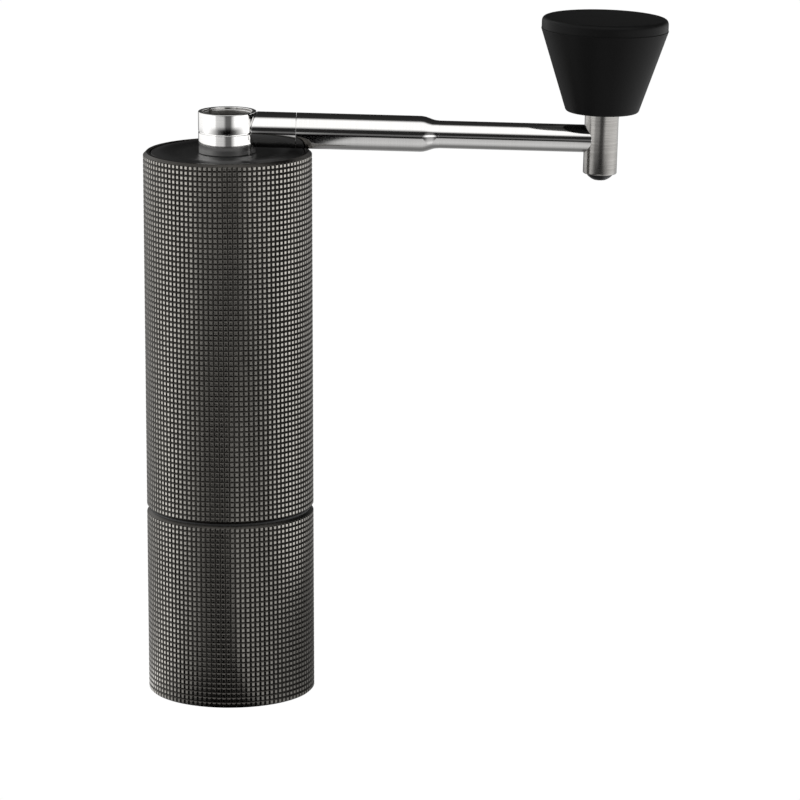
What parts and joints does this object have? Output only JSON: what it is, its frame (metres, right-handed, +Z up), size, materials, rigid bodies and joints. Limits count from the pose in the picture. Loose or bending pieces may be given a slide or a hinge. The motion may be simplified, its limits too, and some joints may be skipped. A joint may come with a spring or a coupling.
{
  "type": "hand crank coffee grinder",
  "caption": "Slim upright manual coffee grinder: grid-cut metal barrel and screw-on grounds cup, dished lid, conical burrs and a top crank with a tapered knob.",
  "frame": {"origin": "centre of the grounds cup's flat base, on the axis of the barrel", "axes": "+Z up along the barrel, +X along the crank arm as stored, +Y completes a right-handed frame"},
  "size_m": [0.1612, 0.052, 0.2123],
  "materials": {
    "barrel_metal": "dark grey anodised, machined all over with a fine square grid",
    "polished_steel": "polished",
    "brushed_steel": "brushed along its length",
    "burr_steel": "ground",
    "bearing_steel": "ground and polished",
    "spring_steel": "drawn",
    "black_bolt_steel": "black oxide",
    "black_plastic": "satin, fine moulded texture",
    "frame_plastic": "matt, glass filled",
    "bush_plastic": "natural bearing plastic",
    "seal_rubber": "soft"
  },
  "bodies": {
    "barrel": {"barrel_shell": "barrel_metal", "hopper_liner": "frame_plastic", "upper_spider": "frame_plastic", "burr_carrier": "frame_plastic", "outer_burr": "burr_steel", "burr_screws": "bearing_steel", "upper_bearing_outer": "bearing_steel", "lower_bearing_outer": "bearing_steel"},
    "shaft": {"drive_shaft": "brushed_steel", "upper_bearing_inner": "bearing_steel", "lower_bearing_inner": "bearing_steel", "shaft_circlips": "spring_steel", "spring_washer": "bearing_steel", "burr_spring": "spring_steel"},
    "upper_cage": {"upper_bearing_cage": "bush_plastic", "upper_bearing_balls": "bearing_steel"},
    "lower_cage": {"lower_bearing_cage": "bush_plastic", "lower_bearing_balls": "bearing_steel"},
    "burr": {"inner_burr": "burr_steel", "detent_plate": "bearing_steel"},
    "dial": {"adjusting_dial": "frame_plastic", "detent_balls": "bearing_steel", "detent_springs": "spring_steel"},
    "lid": {"lid": "black_plastic", "lid_seal": "seal_rubber"},
    "crank": {"crank_hub": "polished_steel", "hub_washer": "bearing_steel", "hub_circlip": "spring_steel", "arm_collar": "polished_steel", "arm_sleeve": "polished_steel", "arm_rod": "polished_steel", "knob_post": "brushed_steel", "knob_bolt": "black_bolt_steel", "knob_washer": "bearing_steel", "knob_nut": "bearing_steel"},
    "knob": {"knob_body": "black_plastic", "knob_bush": "bush_plastic", "knob_cap": "black_plastic"},
    "cup_ring": {"cup_seal": "seal_rubber"},
    "cup": {"grounds_cup": "barrel_metal"}
  },
  "joints": [
    {"name": "lid_lift", "type": "slide", "parent": "barrel", "child": "lid", "axis": [0, 0, 1], "range_m": [0, 0.045]},
    {"name": "crank_turn", "type": "hinge", "parent": "lid", "child": "crank", "pos_m": [0, 0, 0.17], "axis": [0, 0, 1], "continuous": true},
    {"name": "knob_spin", "type": "hinge", "parent": "crank", "child": "knob", "pos_m": [0.11471, 0, 0.1743], "axis": [0.0279, 0, 0.9996], "continuous": true},
    {"name": "shaft_spin", "type": "hinge", "parent": "barrel", "child": "shaft", "pos_m": [0, 0, 0.12], "axis": [0, 0, 1], "continuous": true},
    {"name": "upper_cage_spin", "type": "hinge", "parent": "barrel", "child": "upper_cage", "pos_m": [0, 0, 0.1505], "axis": [0, 0, 1], "continuous": true},
    {"name": "lower_cage_spin", "type": "hinge", "parent": "barrel", "child": "lower_cage", "pos_m": [0, 0, 0.0905], "axis": [0, 0, 1], "continuous": true},
    {"name": "burr_feed", "type": "slide", "parent": "shaft", "child": "burr", "axis": [0, 0, 1], "range_m": [-0.002, 0.0005], "deforming": ["burr_spring"]},
    {"name": "dial_turn", "type": "hinge", "parent": "burr", "child": "dial", "pos_m": [0, 0, 0.056], "axis": [0, 0, 1], "range_deg": [-720, 180]},
    {"name": "cup_drop", "type": "slide", "parent": "barrel", "child": "cup_ring", "axis": [0, 0, -1], "range_m": [0, 0.065]},
    {"name": "cup_unscrew", "type": "hinge", "parent": "cup_ring", "child": "cup", "pos_m": [0, 0, 0.029], "axis": [0, 0, -1], "range_deg": [0, 1080]}
  ],
  "couplings": [
    {"joint": "shaft_spin", "follows": "crank_turn", "ratio": 1},
    {"joint": "upper_cage_spin", "follows": "crank_turn", "ratio": 0.4003},
    {"joint": "lower_cage_spin", "follows": "crank_turn", "ratio": 0.4003},
    {"joint": "dial_turn", "follows": "burr_feed", "rad_per_m": 6283.2}
  ]
}
